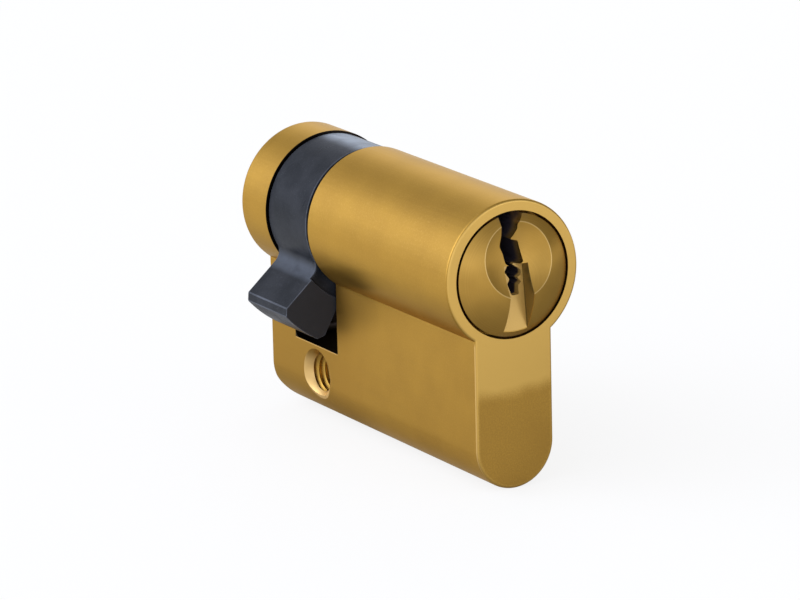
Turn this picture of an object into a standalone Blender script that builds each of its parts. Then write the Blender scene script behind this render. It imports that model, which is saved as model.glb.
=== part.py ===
"""Half euro cylinder: a door lock cylinder keyed from one end only.

Metres, +Z up. The origin is the centre of the fixing screw hole. The plug turns
about a line along Y above it, its keyed face looks along -Y, and the web hangs down.
"""
from math import asin, atan2, cos, pi, radians, sin, sqrt

import bmesh
import bpy
from mathutils import Matrix, Vector

# Euro profile of the housing
front_length = 0.035
rear_length = 0.0105
barrel_radius = 0.0085
web_width = 0.010
axis_height = 0.0188
web_below_screw = 0.0057
web_corner_radius = 0.0045
edge_chamfer = 0.00035

# Cam slot and fixing screw hole
slot_width = 0.010
slot_floor_height = 0.0034
slot_corner_radius = 0.0008
screw_bore_radius = 0.0021
screw_mouth_radius = 0.0030
screw_mouth_depth = 0.0008

# Plug, with the domed face, the round dish and the notch that guide the key in
wall_round_head = 0.00155
head_lip = 0.00045
head_depth = 0.0020
dome_height = 0.00235
dish_rim_radius = 0.00435
dish_depth = 0.0008
dish_tilt = radians(10.4)
notch_width = 0.0031
notch_top = 0.0012
notch_floor_setback = 0.0003
notch_tilt = radians(8.5)
plug_reach_past_wall = 0.0040
groove_depth = 0.0009

# Retaining ring behind the housing's wall
ring_lip = 0.0011
ring_thickness = 0.0006
ring_mouth = 0.0050

# Cam, seen with its lobe hanging straight down before it is turned to its angle
cam_wall = 0.0016
cam_step = 0.0005
cam_step_width = 0.00155
cam_rear_clearance = 0.0005
cam_angle = radians(39)
lobe_side_offset = 0.00063
lobe_flare = radians(10.3)
lobe_tip_chamfer = 0.0007
lobe_root_fillet = 0.0015

# Driver that joins the cam to the plug
lug_width = 0.0026
lug_height = 0.0014
tongue_inset = 0.0013
tongue_thickness = 0.0030
tongue_depth = 0.0018
journal_shoulder = 0.0020
journal_length = 0.0030

# Pin chambers, counted from the keyed face
first_pin_setback = 0.0065
pin_pitch = 0.0044
pin_radius = 0.0014
pin_chamfer = 0.0003
pin_travel = 0.0020
key_cut_depths = (0.0018, 0.0012, 0.0021, 0.0015, 0.0009)
key_pin_tip_radius = 0.0005
key_pin_tip_length = 0.0009
driver_pin_length = 0.0055
spring_wire_radius = 0.00016
spring_turns = 6
chamber_plug_radius = 0.0017
chamber_plug_length = 0.0020

# Clearances
running_clearance = 0.0003
seat_gap = 0.0002
pin_clearance = 0.00015
press_gap = 0.0001

# Facets of round faces, and how far a cutter reaches past what it cuts
round_steps = 48
small_round_steps = 20
dome_rings = 7
fillet_steps = 5
spring_steps_per_turn = 10
overshoot = 0.001

# Key slot seen from the front, down its right side and up its left, from the plug's axis
keyway = (
    (0.00130, 0.00670),
    (0.00045, 0.00585),
    (0.00045, 0.00525),
    (0.00000, 0.00460),
    (-0.00045, 0.00420),
    (0.00050, 0.00390),
    (0.00105, 0.00150),
    (0.00020, 0.00110),
    (0.00130, 0.00035),
    (0.00130, -0.00015),
    (0.00075, -0.00045),
    (0.00125, -0.00100),
    (0.00080, -0.00130),
    (0.00080, -0.00235),
    (-0.00015, -0.00235),
    (-0.00060, -0.00100),
    (-0.00025, -0.00050),
    (-0.00085, 0.00035),
    (-0.00040, 0.00100),
    (-0.00130, 0.00155),
    (-0.00155, 0.00275),
    (-0.00195, 0.00360),
    (-0.00165, 0.00480),
    (-0.00170, 0.00600),
)
keyway_run_out = 0.0030
keyway_run_out_right = 0.0018
keyway_run_out_left = -0.0017

# Places that follow from the sizes above
front_y = -front_length
rear_y = rear_length
slot_front_y = -slot_width / 2
slot_rear_y = slot_width / 2
web_bottom = -web_below_screw
head_radius = barrel_radius - wall_round_head
plug_radius = head_radius - head_lip
bore_radius = plug_radius + running_clearance
ring_radius = plug_radius + ring_lip
cam_radius = bore_radius + cam_wall
cam_step_radius = cam_radius + cam_step_width
lobe_radius = axis_height - slot_floor_height - running_clearance
journal_radius = plug_radius - journal_shoulder
tongue_half_length = plug_radius - tongue_inset
chamber_radius = pin_radius + pin_clearance
ring_front_y = slot_front_y + seat_gap
ring_rear_y = ring_front_y + ring_thickness
cam_front_y = ring_rear_y + seat_gap
cam_rear_y = slot_rear_y - cam_rear_clearance
plug_end_y = slot_front_y + plug_reach_past_wall
driver_front_y = plug_end_y + running_clearance
chamber_plug_top = web_bottom + chamber_plug_length
key_pin_lengths = [plug_radius - depth for depth in key_cut_depths]

# How a flat outline or a turned profile is laid along a direction
outline_along_x = (pi / 2, 0, pi / 2)
outline_along_y = (pi / 2, 0, 0)
turned_to_x = (0, pi / 2, 0)
turned_to_y = (-pi / 2, 0, 0)


def new_collection(name):
    collection = bpy.data.collections.new(name)
    bpy.context.scene.collection.children.link(collection)
    return collection


def metal(name, colour, roughness):
    material = bpy.data.materials.new(name)
    material.use_nodes = True
    shader = material.node_tree.nodes["Principled BSDF"]
    shader.inputs["Base Color"].default_value = (*colour, 1)
    shader.inputs["Roughness"].default_value = roughness
    shader.inputs["Metallic"].default_value = 1
    return material


def add_object(name, data, location, rotation):
    obj = bpy.data.objects.new(name, data)
    obj.location = location
    obj.rotation_euler = rotation
    parts.objects.link(obj)
    return obj


def turned(name, profile, location, rotation=(0, 0, 0), steps=round_steps, closed=False):
    """Turn a profile of (radius, height) points, highest first, about local Z."""
    mesh = bpy.data.meshes.new(name)
    edges = [(i, i + 1) for i in range(len(profile) - 1)]
    if closed:
        edges.append((len(profile) - 1, 0))
    mesh.from_pydata([(radius, 0, height) for radius, height in profile], edges, [])
    obj = add_object(name, mesh, location, rotation)
    screw = obj.modifiers.new("turn", "SCREW")
    screw.steps = steps
    screw.render_steps = steps
    screw.use_merge_vertices = True
    screw.merge_threshold = 0.000001
    screw.use_smooth_shade = True
    return obj


def turned_on_axis(name, profile, closed=False):
    """Turn a profile of (radius, y) points, rearmost first, about the plug's axis."""
    return turned(name, profile, (0, 0, axis_height), turned_to_y, closed=closed)


def curve_as_mesh(name, curve, location, rotation):
    """Make a curve a mesh object whose caps are welded on."""
    guide = add_object(name, curve, location, rotation)
    depsgraph = bpy.context.evaluated_depsgraph_get()
    mesh = bpy.data.meshes.new_from_object(guide.evaluated_get(depsgraph))
    bpy.data.curves.remove(curve)
    welded = bmesh.new()
    welded.from_mesh(mesh)
    bmesh.ops.remove_doubles(welded, verts=welded.verts, dist=0.000001)
    bmesh.ops.dissolve_limit(
        welded, angle_limit=radians(1), verts=welded.verts, edges=welded.edges
    )
    bmesh.ops.recalc_face_normals(welded, faces=welded.faces)
    welded.to_mesh(mesh)
    welded.free()
    mesh.shade_smooth()
    mesh.set_sharp_from_angle(angle=radians(30))
    return add_object(name, mesh, location, rotation)


def prism(name, outline, low, high, direction, height=0):
    """Extrude an outline of (across, up) points from low to high along X or Y."""
    curve = bpy.data.curves.new(name, "CURVE")
    curve.dimensions = "2D"
    curve.fill_mode = "BOTH"
    curve.extrude = (high - low) / 2
    spline = curve.splines.new("POLY")
    spline.points.add(len(outline) - 1)
    for point, (across, up) in zip(spline.points, outline):
        point.co = (across, up, 0, 1)
    spline.use_cyclic_u = True
    middle = (low + high) / 2
    if direction == "X":
        return curve_as_mesh(name, curve, (middle, 0, height), outline_along_x)
    return curve_as_mesh(name, curve, (0, middle, height), outline_along_y)


def block(name, low, high, location, rotation=(0, 0, 0)):
    """A block between two corners that are measured from its location."""
    low, high = Vector(low), Vector(high)
    mesh = bpy.data.meshes.new(name)
    cube = bmesh.new()
    bmesh.ops.create_cube(cube, size=1)
    bmesh.ops.scale(cube, vec=high - low, verts=cube.verts)
    bmesh.ops.translate(cube, vec=(low + high) / 2, verts=cube.verts)
    cube.to_mesh(mesh)
    cube.free()
    return add_object(name, mesh, location, rotation)


def block_on_axis(name, low, high, angle=0):
    """A block measured from the plug's axis and turned about it."""
    return block(name, low, high, (0, 0, axis_height), (0, angle, 0))


def combine(piece, tool, operation):
    """Cut, join or intersect a piece with a tool, which stays in the file as a guide."""
    boolean = piece.modifiers.new(tool.name, "BOOLEAN")
    boolean.operation = operation
    boolean.object = tool
    tool.hide_render = True
    tool.display_type = "WIRE"
    if tool.name in parts.objects:
        parts.objects.unlink(tool)
        cutters.objects.link(tool)


def cut(piece, tool):
    combine(piece, tool, "DIFFERENCE")


def arc(centre, radius, start, end, steps):
    """Points of an arc from one angle to the other, both ends included."""
    angles = [start + (end - start) * i / steps for i in range(steps + 1)]
    return [(centre[0] + radius * cos(a), centre[1] + radius * sin(a)) for a in angles]


def plain_cylinder(radius, high, low):
    return [(0, high), (radius, high), (radius, low), (0, low)]


def chamber_y(index):
    return front_y + first_pin_setback + index * pin_pitch


def profile_outline():
    """A round barrel on a flat web whose bottom is fully round."""
    junction = asin(web_width / 2 / barrel_radius)
    bottom_radius = web_width / 2
    barrel = arc(
        (0, axis_height), barrel_radius, junction - pi / 2, 3 * pi / 2 - junction, round_steps
    )
    bottom = arc((0, web_bottom + bottom_radius), bottom_radius, pi, 2 * pi, round_steps // 2)
    return barrel + bottom


def web_corner_waste():
    """What rounding the web's lower rear corner takes away, seen from the side."""
    corner = arc(
        (rear_y - web_corner_radius, web_bottom + web_corner_radius),
        web_corner_radius, -pi / 2, 0, round_steps // 4,
    )
    outside_y = rear_y + overshoot
    outside_z = web_bottom - overshoot
    return corner + [
        (outside_y, corner[-1][1]), (outside_y, outside_z), (corner[0][0], outside_z)
    ]


def slot_outline():
    """The cam slot seen from the side, open at the top, with a rounded rear corner."""
    top = axis_height + barrel_radius + overshoot
    corner = arc(
        (slot_rear_y - slot_corner_radius, slot_floor_height + slot_corner_radius),
        slot_corner_radius, -pi / 2, 0, fillet_steps,
    )
    return [(slot_front_y, top), (slot_front_y, slot_floor_height)] + corner + [(slot_rear_y, top)]


def cut_bores(housing):
    """Bore the housing for the plug from its face, and for the driver's journal."""
    head_seat_radius = head_radius + running_clearance
    head_seat_y = front_y + head_depth + running_clearance
    past_wall = slot_front_y + overshoot
    before_face = front_y - overshoot
    plug_bore = [
        (0, past_wall), (bore_radius, past_wall), (bore_radius, head_seat_y),
        (head_seat_radius, head_seat_y), (head_seat_radius, before_face), (0, before_face),
    ]
    cut(housing, turned_on_axis("plug_bore_cut", plug_bore))
    journal_bore = plain_cylinder(
        journal_radius + running_clearance,
        slot_rear_y + journal_length + running_clearance,
        slot_rear_y - overshoot,
    )
    cut(housing, turned_on_axis("journal_bore_cut", journal_bore))


def cut_screw_hole(housing):
    """Cut the fixing screw's hole through the bridge, with a cone at both mouths."""
    mouth = web_width / 2 - screw_mouth_depth
    outside = web_width / 2 + overshoot
    flare = (screw_mouth_radius - screw_bore_radius) / screw_mouth_depth
    outside_radius = screw_mouth_radius + flare * overshoot
    profile = [
        (0, outside), (outside_radius, outside), (screw_bore_radius, mouth),
        (screw_bore_radius, -mouth), (outside_radius, -outside), (0, -outside),
    ]
    cut(housing, turned("screw_hole_cut", profile, (0, 0, 0), turned_to_x, round_steps // 2))


def cut_housing_chambers(housing):
    """Drill the chambers from the web's bottom, with a wider seat for each closing plug."""
    seat_radius = chamber_plug_radius + press_gap
    seat_top = chamber_plug_top + press_gap
    below_web = web_bottom - overshoot
    profile = [
        (0, axis_height), (chamber_radius, axis_height), (chamber_radius, seat_top),
        (seat_radius, seat_top), (seat_radius, below_web), (0, below_web),
    ]
    for i in range(len(key_pin_lengths)):
        place = (0, chamber_y(i), 0)
        cut(housing, turned(f"chamber_cut_{i + 1}", profile, place, steps=small_round_steps))


def make_housing():
    housing = prism("housing", profile_outline(), front_y, rear_y, "Y")
    chamfer = housing.modifiers.new("edge_chamfer", "BEVEL")
    chamfer.width = edge_chamfer
    chamfer.segments = 1
    chamfer.limit_method = "ANGLE"
    chamfer.angle_limit = radians(70)
    half_reach = barrel_radius + overshoot
    cut(housing, prism("web_corner_cut", web_corner_waste(), -half_reach, half_reach, "X"))
    cut(housing, prism("cam_slot_cut", slot_outline(), -half_reach, half_reach, "X"))
    cut_bores(housing)
    cut_screw_hole(housing)
    cut_housing_chambers(housing)
    return housing


def dome_radius():
    return (head_radius ** 2 + dome_height ** 2) / (2 * dome_height)


def dome_centre_y():
    return front_y - dome_height + dome_radius()


def plug_profile():
    """The plug from its rear end forward: land, ring groove, barrel, head and dome."""
    radius = dome_radius()
    rim_angle = asin(head_radius / radius)
    angles = [rim_angle * (1 - i / dome_rings) for i in range(dome_rings)]
    dome = [(radius * sin(a), dome_centre_y() - radius * cos(a)) for a in angles]
    groove_radius = plug_radius - groove_depth
    groove_rear_y = ring_rear_y + seat_gap
    groove_front_y = ring_front_y - seat_gap
    return [
        (0, plug_end_y), (plug_radius, plug_end_y),
        (plug_radius, groove_rear_y), (groove_radius, groove_rear_y),
        (groove_radius, groove_front_y), (plug_radius, groove_front_y),
        (plug_radius, front_y + head_depth), (head_radius, front_y + head_depth),
    ] + dome + [(0, front_y - dome_height)]


def dish_cutter():
    """A ball that hollows the dome round the keyway, on an axis tilted up from the plug's."""
    ball_radius = (dish_rim_radius ** 2 + dish_depth ** 2) / (2 * dish_depth)
    rim_distance = sqrt(dome_radius() ** 2 - dish_rim_radius ** 2)
    ball_centre = rim_distance + ball_radius - dish_depth
    edge_angle = 1.2 * asin(dish_rim_radius / ball_radius)
    angles = [edge_angle * (1 - i / dome_rings) for i in range(dome_rings)]
    ball = [(ball_radius * sin(a), ball_centre - ball_radius * cos(a)) for a in angles]
    top = dome_radius() + overshoot
    profile = [(0, top), (ball[0][0], top)] + ball + [(0, rim_distance - dish_depth)]
    place = (0, dome_centre_y(), axis_height)
    return turned("dish_cut", profile, place, (pi / 2 - dish_tilt, 0, 0))


def keyway_outline():
    """The key slot, carried on past the head so that its top stays open."""
    top = head_radius + keyway_run_out
    return [(keyway_run_out_right, top), *keyway, (keyway_run_out_left, top)]


def cut_key_entry(plug):
    """Cut the dish, the notch below it and the key slot that runs the plug's length."""
    cut(plug, dish_cutter())
    notch = block(
        "notch_cut",
        (-notch_width / 2, -dome_height - notch_floor_setback - overshoot, -head_radius),
        (notch_width / 2, 0, notch_top),
        (0, front_y + notch_floor_setback, axis_height),
        (-notch_tilt, 0, 0),
    )
    cut(plug, notch)
    before_dome = front_y - dome_height - overshoot
    past_end = plug_end_y + overshoot
    cut(plug, prism("keyway_cut", keyway_outline(), before_dome, past_end, "Y", axis_height))


def cut_plug_chambers(plug):
    """Drill the key pins' chambers up from the plug's underside."""
    top = max(key_pin_lengths) - plug_radius + pin_travel + seat_gap
    profile = plain_cylinder(chamber_radius, top, -plug_radius - overshoot)
    for i in range(len(key_pin_lengths)):
        place = (0, chamber_y(i), axis_height)
        cut(plug, turned(f"key_chamber_cut_{i + 1}", profile, place, steps=small_round_steps))


def make_plug():
    plug = turned_on_axis("plug", plug_profile())
    cut_key_entry(plug)
    cut_plug_chambers(plug)
    slot_half = tongue_thickness / 2 + seat_gap
    slot_bottom_y = driver_front_y - tongue_depth - seat_gap
    reach = plug_radius + overshoot
    tongue_slot = block_on_axis(
        "tongue_slot_cut",
        (-reach, slot_bottom_y, -slot_half),
        (reach, plug_end_y + overshoot, slot_half),
        cam_angle,
    )
    cut(plug, tongue_slot)
    return plug


def make_retaining_ring():
    ring_inner_radius = plug_radius - groove_depth + seat_gap
    profile = [
        (ring_inner_radius, ring_rear_y), (ring_radius, ring_rear_y),
        (ring_radius, ring_front_y), (ring_inner_radius, ring_front_y),
    ]
    ring = turned_on_axis("retaining_ring", profile, closed=True)
    mouth = block_on_axis(
        "ring_mouth_cut",
        (-ring_mouth / 2, ring_front_y - overshoot, -ring_radius - overshoot),
        (ring_mouth / 2, ring_rear_y + overshoot, 0),
    )
    cut(ring, mouth)
    return ring


def cam_outline():
    """A ring with one lobe hanging down, filleted at its root and chamfered at its tip."""
    side = lobe_side_offset * cos(lobe_flare)
    fillet_side = side + lobe_root_fillet
    fillet_along = sqrt((cam_radius + lobe_root_fillet) ** 2 - fillet_side ** 2)

    def place(along, beside):
        across = along * sin(lobe_flare) + beside * cos(lobe_flare)
        down = along * cos(lobe_flare) - beside * sin(lobe_flare)
        return across, -down

    corner_along = sqrt(lobe_radius ** 2 - side ** 2)
    corner = place(corner_along, side)
    corner_angle = atan2(corner[1], corner[0]) - lobe_tip_chamfer / lobe_radius
    fillet_centre = place(fillet_along, fillet_side)
    to_axis = atan2(-fillet_centre[1], -fillet_centre[0])
    ring_start = to_axis - pi
    right = arc((0, 0), lobe_radius, -pi / 2, corner_angle, fillet_steps)
    right.append(place(corner_along - lobe_tip_chamfer, side))
    right += arc(fillet_centre, lobe_root_fillet, pi + lobe_flare, to_axis, fillet_steps)
    right += arc((0, 0), cam_radius, ring_start, pi / 2, round_steps // 2)[1:]
    left = [(-across, up) for across, up in reversed(right[1:-1])]
    return right + left


def make_cam():
    lobe_front_y = cam_front_y - cam_step
    cam = prism("cam", cam_outline(), lobe_front_y, cam_rear_y, "Y", axis_height)
    cam.rotation_euler.y = cam_angle
    past_rear = cam_rear_y + overshoot
    before_front = lobe_front_y - overshoot
    step = plain_cylinder(cam_step_radius, cam_front_y, before_front)
    cut(cam, turned_on_axis("cam_step_cut", step))
    bore = plain_cylinder(bore_radius, past_rear, before_front)
    cut(cam, turned_on_axis("cam_bore_cut", bore))
    half_slot = lug_width / 2 + seat_gap
    lug_slot = block_on_axis(
        "lug_slot_cut",
        (-half_slot, before_front, -plug_radius - lug_height - seat_gap),
        (half_slot, past_rear, 0),
        cam_angle,
    )
    cut(cam, lug_slot)
    return cam


def make_cam_driver():
    """A drum with a journal behind, a tongue in front and a lug that turns the cam."""
    drum_end_y = slot_rear_y - running_clearance
    journal_end_y = slot_rear_y + journal_length
    profile = [
        (0, journal_end_y), (journal_radius, journal_end_y), (journal_radius, drum_end_y),
        (plug_radius, drum_end_y), (plug_radius, driver_front_y), (0, driver_front_y),
    ]
    driver = turned_on_axis("cam_driver", profile)
    lug = block_on_axis(
        "lug_join",
        (-lug_width / 2, driver_front_y + overshoot, -plug_radius - lug_height),
        (lug_width / 2, cam_rear_y, 0),
        cam_angle,
    )
    combine(driver, lug, "UNION")
    tongue = block_on_axis(
        "tongue_join",
        (-tongue_half_length, driver_front_y - tongue_depth, -tongue_thickness / 2),
        (tongue_half_length, driver_front_y + overshoot, tongue_thickness / 2),
        cam_angle,
    )
    combine(driver, tongue, "UNION")
    return driver


def make_key_pin(index):
    """A pin pointed at the key, whose flat end lies flush with the plug's underside."""
    length = key_pin_lengths[index]
    profile = [
        (0, length), (key_pin_tip_radius, length), (pin_radius, length - key_pin_tip_length),
        (pin_radius, pin_chamfer), (pin_radius - pin_chamfer, 0), (0, 0),
    ]
    place = (0, chamber_y(index), axis_height - plug_radius)
    return turned(f"key_pin_{index + 1}", profile, place, steps=small_round_steps)


def make_driver_pin(index):
    """A plain pin below the key pin, just clear of the plug's bore."""
    bottom = -driver_pin_length
    flat = pin_radius - pin_chamfer
    profile = [
        (0, 0), (flat, 0), (pin_radius, -pin_chamfer),
        (pin_radius, bottom + pin_chamfer), (flat, bottom), (0, bottom),
    ]
    place = (0, chamber_y(index), axis_height - bore_radius)
    return turned(f"driver_pin_{index + 1}", profile, place, steps=small_round_steps)


def make_pin_spring(index):
    """A round wire spring with closed end turns, from the closing plug to the driver pin."""
    name = f"pin_spring_{index + 1}"
    bottom = chamber_plug_top + seat_gap
    top = axis_height - bore_radius - driver_pin_length - seat_gap
    coil_radius = pin_radius - spring_wire_radius
    closed_rise = 2.3 * spring_wire_radius
    open_rise = (top - bottom - 2 * spring_wire_radius - 2 * closed_rise) / (spring_turns - 2)
    curve = bpy.data.curves.new(name, "CURVE")
    curve.dimensions = "3D"
    curve.bevel_depth = spring_wire_radius
    curve.bevel_resolution = 1
    curve.use_fill_caps = True
    spline = curve.splines.new("POLY")
    steps = spring_turns * spring_steps_per_turn
    spline.points.add(steps)
    for i, point in enumerate(spline.points):
        turns = i / spring_steps_per_turn
        open_turns = min(max(turns - 1, 0), spring_turns - 2)
        closed_turns = turns - open_turns
        height = spring_wire_radius + open_turns * open_rise + closed_turns * closed_rise
        angle = 2 * pi * turns
        point.co = (coil_radius * cos(angle), coil_radius * sin(angle), height, 1)
    return curve_as_mesh(name, curve, (0, chamber_y(index), bottom), (0, 0, 0))


def make_chamber_plug(index, envelope):
    """A plug that closes a chamber and is finished flush with the web's round bottom."""
    profile = plain_cylinder(chamber_plug_radius, chamber_plug_top, web_bottom - overshoot)
    place = (0, chamber_y(index), 0)
    plug = turned(f"chamber_plug_{index + 1}", profile, place, steps=small_round_steps)
    combine(plug, envelope, "INTERSECT")
    return plug


def make_pin_stacks():
    """Fill each chamber, and return the key pins, which the plug carries round with it."""
    key_pins = []
    envelope = prism("web_envelope", profile_outline(), front_y, rear_y, "Y")
    for i in range(len(key_pin_lengths)):
        key_pin = make_key_pin(i)
        key_pin.data.materials.append(nickel_silver)
        key_pins.append(key_pin)
        make_driver_pin(i).data.materials.append(pin_steel)
        make_pin_spring(i).data.materials.append(spring_steel)
        make_chamber_plug(i, envelope).data.materials.append(brass)
    return key_pins


def hang_on_axis(pieces):
    """Parent what turns with the key to an empty on the plug's axis."""
    turning = bpy.data.objects.new("plug_axis", None)
    turning.location = (0, 0, axis_height)
    parts.objects.link(turning)
    for piece in pieces:
        piece.parent = turning
        piece.matrix_parent_inverse = Matrix.Translation((0, 0, -axis_height))


for old in list(bpy.data.objects):
    bpy.data.objects.remove(old, do_unlink=True)
parts = new_collection("half_euro_cylinder")
cutters = new_collection("cutters")
brass = metal("brass", (0.72, 0.49, 0.17), 0.32)
plug_brass = metal("plug_brass", (0.75, 0.52, 0.19), 0.28)
cam_steel = metal("cam_steel", (0.055, 0.062, 0.075), 0.42)
driver_steel = metal("driver_steel", (0.42, 0.42, 0.43), 0.38)
spring_steel = metal("spring_steel", (0.55, 0.55, 0.56), 0.30)
pin_steel = metal("pin_steel", (0.50, 0.50, 0.51), 0.28)
nickel_silver = metal("nickel_silver", (0.66, 0.63, 0.52), 0.25)

make_housing().data.materials.append(brass)
rotor = [make_plug(), make_retaining_ring(), make_cam(), make_cam_driver()]
for piece, material in zip(rotor, (plug_brass, spring_steel, cam_steel, driver_steel)):
    piece.data.materials.append(material)
hang_on_axis(rotor + make_pin_stacks())
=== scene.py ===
"""Half euro cylinder in bare brass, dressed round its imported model. Metres, +Z up."""
from math import asin, atan2, cos, pi, radians, sin, sqrt

import bmesh
import bpy
from mathutils import Matrix, Vector


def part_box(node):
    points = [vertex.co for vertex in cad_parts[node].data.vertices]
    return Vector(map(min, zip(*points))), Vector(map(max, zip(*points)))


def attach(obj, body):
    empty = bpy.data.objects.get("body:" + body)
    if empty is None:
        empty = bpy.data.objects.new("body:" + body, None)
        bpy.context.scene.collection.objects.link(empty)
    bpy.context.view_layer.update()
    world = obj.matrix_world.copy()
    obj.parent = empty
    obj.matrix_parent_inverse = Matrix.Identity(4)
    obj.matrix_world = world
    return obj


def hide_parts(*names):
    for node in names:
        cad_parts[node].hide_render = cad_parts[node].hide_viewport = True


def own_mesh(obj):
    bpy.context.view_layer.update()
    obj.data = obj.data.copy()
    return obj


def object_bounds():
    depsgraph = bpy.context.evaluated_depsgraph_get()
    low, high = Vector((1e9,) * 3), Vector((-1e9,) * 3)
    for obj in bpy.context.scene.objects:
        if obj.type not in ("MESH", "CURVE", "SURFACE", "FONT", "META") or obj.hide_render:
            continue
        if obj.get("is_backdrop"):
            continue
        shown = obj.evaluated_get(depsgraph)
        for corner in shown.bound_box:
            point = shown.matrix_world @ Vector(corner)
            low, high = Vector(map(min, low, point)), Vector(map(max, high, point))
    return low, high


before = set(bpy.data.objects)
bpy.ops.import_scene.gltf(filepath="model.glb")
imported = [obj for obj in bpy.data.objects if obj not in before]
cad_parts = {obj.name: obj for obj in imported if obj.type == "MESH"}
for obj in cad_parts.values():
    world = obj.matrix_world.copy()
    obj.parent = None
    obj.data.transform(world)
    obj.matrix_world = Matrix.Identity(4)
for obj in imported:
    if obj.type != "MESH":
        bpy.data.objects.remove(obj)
cad_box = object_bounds()


# Housing
# The housing is one length of drawn brass bar in the euro section, a round barrel on a
# flat web. It is faced, milled through for the cam, bored and drilled, and left bare, so
# it shows satin drawing lines along its length and a fine facing pattern in front.
axis_height = 0.0188
front_y = -0.035
rear_y = 0.0105
web_bottom = -0.0057
web_width = 0.010
barrel_radius = 0.0085
end_round = 0.00033
broken_edge = 0.00009
web_corner_radius = 0.0045
slot_front_y = -0.00486
slot_rear_y = 0.00476
slot_floor = 0.0035
slot_corner_radius = 0.0008
plug_bore_radius = 0.0068
head_seat_radius = 0.00725
head_seat_y = front_y + 0.0023
journal_bore_radius = 0.0048
journal_bore_end = 0.0083
thread_radius = 0.00252
mouth_radius = 0.0030
throat_radius = 0.00216
mouth_depth = 0.0008
thread_limit = 0.0041
chamber_setback = 0.0065
chamber_pitch = 0.0044
chamber_count = 5
chamber_radius = 0.00155
closing_seat_radius = 0.0018
closing_seat_top = -0.0036
past = 0.001
brass_colour = (0.450, 0.262, 0.047)
brass_light = (0.560, 0.345, 0.090)
brass_worn = (0.680, 0.450, 0.140)
brass_dull = (0.330, 0.185, 0.036)
# Painted light: the tone of the faced front, lighter than the bar's
brass_front_lit = (0.605, 0.380, 0.097)
# The colour of the painted highlights on the housing
brass_highlight = (0.640, 0.420, 0.150)
slot_shade = (0.008, 0.008, 0.011)
brass_at_edge = (1.0, 0.85, 0.60)
# Marks of use and of cutting, and painted light and shade. A pair runs from where the mark begins
# to where it is full.
face_shade_height = (0.0066, 0.0046)
face_shade_margin = (0.0, 0.00055)
cam_shade_reach = (-0.016, 0.001)
cam_shade_height = (0.0170, 0.0110)
flank_height = (0.0122, 0.0114)
front_edge_highlight_height = (0.0118, 0.0112)
front_edge_highlight_y = front_y + 0.00017
rubbed_reach = (0.010, 0.001)
rubbed_height = (0.0185, 0.0150)
bright_mouth_height = (0.0027, 0.0008)
slot_lip_highlight_height = (slot_floor - 0.00018, slot_floor - 0.00010)
on_axis = Matrix.Translation((0, 0, axis_height)) @ Matrix.Rotation(-pi / 2, 4, "X")
across_web = Matrix.Rotation(pi / 2, 4, "Y")


def arc(centre, radius, start, end, steps):
    """Points of an arc from one angle to the other, both ends included."""
    angles = [start + (end - start) * i / steps for i in range(steps + 1)]
    return [(centre[0] + radius * cos(a), centre[1] + radius * sin(a)) for a in angles]


def as_piece(name, shape):
    """Put a bmesh in the scene as a piece whose faces point outwards."""
    bmesh.ops.recalc_face_normals(shape, faces=shape.faces)
    data = bpy.data.meshes.new(name)
    shape.to_mesh(data)
    shape.free()
    piece = bpy.data.objects.new(name, data)
    bpy.context.scene.collection.objects.link(piece)
    return piece


def bar(name, outline, low, high, along="Y"):
    """A closed bar whose outline of (across, up) points runs from low to high."""
    shape = bmesh.new()
    ends = [
        [shape.verts.new((reach, a, u) if along == "X" else (a, reach, u)) for a, u in outline]
        for reach in (low, high)
    ]
    for i in range(len(outline)):
        j = (i + 1) % len(outline)
        shape.faces.new((ends[0][i], ends[0][j], ends[1][j], ends[1][i]))
    for end in ends:
        shape.faces.new(end)
    return as_piece(name, shape)


def turned(name, profile, place, steps):
    """A closed turned solid through (radius, height) points, turned about local Z."""
    shape = bmesh.new()
    rings = []
    for radius, height in profile:
        count = steps if radius else 1
        turns = [2 * pi * i / steps for i in range(count)]
        rings.append([
            shape.verts.new((radius * cos(a), radius * sin(a), height)) for a in turns
        ])
    for ring, following in zip(rings, rings[1:]):
        for i in range(steps):
            j = (i + 1) % steps
            corners = [ring[i % len(ring)], ring[j % len(ring)],
                       following[j % len(following)], following[i % len(following)]]
            shape.faces.new(list(dict.fromkeys(corners)))
    bmesh.ops.transform(shape, matrix=place, verts=shape.verts)
    return as_piece(name, shape)


def settle(piece):
    """Make what a piece's modifiers show its own mesh."""
    graph = bpy.context.evaluated_depsgraph_get()
    made = bpy.data.meshes.new_from_object(piece.evaluated_get(graph))
    before = piece.data
    piece.modifiers.clear()
    piece.data = made
    bpy.data.meshes.remove(before)


def carve(piece, tools):
    """Cut a piece with each tool in turn, and remove the tools."""
    for tool in tools:
        step = piece.modifiers.new(tool.name, "BOOLEAN")
        step.operation = "DIFFERENCE"
        step.solver = "EXACT"
        step.object = tool
    settle(piece)
    for tool in tools:
        bpy.data.objects.remove(tool)


def ease_edges(piece, width, limit, segments=2, edge_slot=-1, clamped=True):
    """Break a piece's sharp edges. The new rims take the material of the given slot."""
    ease = piece.modifiers.new("eased_edges", "BEVEL")
    ease.use_clamp_overlap = clamped
    ease.width = width
    ease.segments = segments
    ease.limit_method = "ANGLE"
    ease.angle_limit = radians(limit)
    ease.material = edge_slot
    settle(piece)


def shade(piece, limit=28):
    """Shade a piece smooth between edges sharper than the limit, and its flats flat."""
    piece.data.shade_smooth()
    piece.data.set_sharp_from_angle(angle=radians(limit))
    even = piece.modifiers.new("even_shading", "WEIGHTED_NORMAL")
    even.keep_sharp = True
    even.weight = 80
    settle(piece)


def plain_cylinder(radius, low, high):
    """The profile of a turned cylinder."""
    return [(0, high), (radius, high), (radius, low), (0, low)]


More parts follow.
